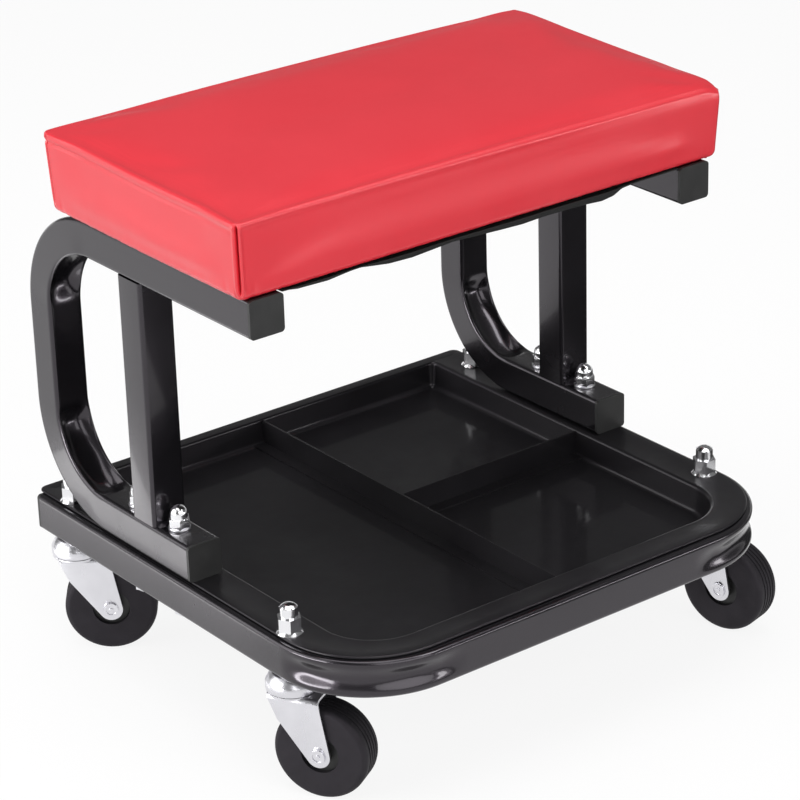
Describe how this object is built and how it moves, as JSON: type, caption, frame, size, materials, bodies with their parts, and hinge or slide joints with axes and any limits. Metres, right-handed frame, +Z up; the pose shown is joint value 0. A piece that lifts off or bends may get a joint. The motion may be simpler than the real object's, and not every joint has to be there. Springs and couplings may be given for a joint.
{
  "type": "creeper seat",
  "caption": "Low rolling mechanic's seat with a padded cushion on C-shaped side frames, a divided tool tray and swivel casters.",
  "frame": {"origin": "on the floor under the centre of the object's box, with its wheels standing on Z = 0", "axes": "+X to the right of a person who faces the seat's open front, +Y from the open front to the closed back of the side frames, +Z up"},
  "size_m": [0.3948, 0.36, 0.3886],
  "materials": {
    "frame_paint": "gloss black powder coat",
    "tray_paint": "semi-gloss black powder coat",
    "cap_plastic": "moulded black plastic",
    "red_vinyl": "glossy vinyl",
    "foam": "open-cell foam",
    "plywood": "raw plywood",
    "dust_fabric": "spun black fabric",
    "zinc": "bright zinc plate",
    "chrome": "bright plate",
    "hub_plastic": "moulded black plastic",
    "wheel_rubber": "hard black rubber"
  },
  "bodies": {
    "seat_body": {"base_frame": "frame_paint", "base_end_caps": "cap_plastic", "left_side_frame": "frame_paint", "right_side_frame": "frame_paint", "left_post": "frame_paint", "right_post": "frame_paint", "side_frame_end_caps": "cap_plastic", "tool_tray": "tray_paint", "long_divider": "tray_paint", "short_divider": "tray_paint", "seat_cover": "red_vinyl", "seat_foam": "foam", "seat_board": "plywood", "seat_dust_cover": "dust_fabric", "seat_tee_nuts": "zinc", "seat_bolts": "zinc", "seat_washers": "zinc", "frame_bolts": "zinc", "frame_washers": "zinc", "frame_dome_nuts": "chrome", "stem_dome_nuts": "chrome", "front_left_cup": "zinc", "front_left_stem": "zinc", "front_right_cup": "zinc", "front_right_stem": "zinc", "rear_left_cup": "zinc", "rear_left_stem": "zinc", "rear_right_cup": "zinc", "rear_right_stem": "zinc"},
    "front_left_swivel": {"front_left_fork": "zinc", "front_left_axle": "zinc", "front_left_axle_nut": "zinc", "front_left_sleeve": "zinc", "front_left_balls": "chrome"},
    "front_left_wheel": {"front_left_hub": "hub_plastic", "front_left_tyre": "wheel_rubber"},
    "front_right_swivel": {"front_right_fork": "zinc", "front_right_axle": "zinc", "front_right_axle_nut": "zinc", "front_right_sleeve": "zinc", "front_right_balls": "chrome"},
    "front_right_wheel": {"front_right_hub": "hub_plastic", "front_right_tyre": "wheel_rubber"},
    "rear_left_swivel": {"rear_left_fork": "zinc", "rear_left_axle": "zinc", "rear_left_axle_nut": "zinc", "rear_left_sleeve": "zinc", "rear_left_balls": "chrome"},
    "rear_left_wheel": {"rear_left_hub": "hub_plastic", "rear_left_tyre": "wheel_rubber"},
    "rear_right_swivel": {"rear_right_fork": "zinc", "rear_right_axle": "zinc", "rear_right_axle_nut": "zinc", "rear_right_sleeve": "zinc", "rear_right_balls": "chrome"},
    "rear_right_wheel": {"rear_right_hub": "hub_plastic", "rear_right_tyre": "wheel_rubber"}
  },
  "joints": [
    {"name": "front_left_swivel_turn", "type": "hinge", "parent": "seat_body", "child": "front_left_swivel", "pos_m": [-0.1758, -0.1025, 0.071], "axis": [0, 0, 1], "continuous": true},
    {"name": "front_left_wheel_spin", "type": "hinge", "parent": "front_left_swivel", "child": "front_left_wheel", "pos_m": [-0.16462, -0.1211, 0.03175], "axis": [-0.8572, -0.515, 0], "continuous": true},
    {"name": "front_right_swivel_turn", "type": "hinge", "parent": "seat_body", "child": "front_right_swivel", "pos_m": [0.1758, -0.1025, 0.071], "axis": [0, 0, 1], "continuous": true},
    {"name": "front_right_wheel_spin", "type": "hinge", "parent": "front_right_swivel", "child": "front_right_wheel", "pos_m": [0.18142, -0.12346, 0.03175], "axis": [-0.9659, -0.2588, 0], "continuous": true},
    {"name": "rear_left_swivel_turn", "type": "hinge", "parent": "seat_body", "child": "rear_left_swivel", "pos_m": [-0.1758, 0.148, 0.071], "axis": [0, 0, 1], "continuous": true},
    {"name": "rear_left_wheel_spin", "type": "hinge", "parent": "rear_left_swivel", "child": "rear_left_wheel", "pos_m": [-0.15824, 0.13525, 0.03175], "axis": [-0.5878, -0.809, 0], "continuous": true},
    {"name": "rear_right_swivel_turn", "type": "hinge", "parent": "seat_body", "child": "rear_right_swivel", "pos_m": [0.1758, 0.148, 0.071], "axis": [0, 0, 1], "continuous": true},
    {"name": "rear_right_wheel_spin", "type": "hinge", "parent": "rear_right_swivel", "child": "rear_right_wheel", "pos_m": [0.18031, 0.12677, 0.03175], "axis": [-0.9781, -0.2079, 0], "continuous": true}
  ]
}
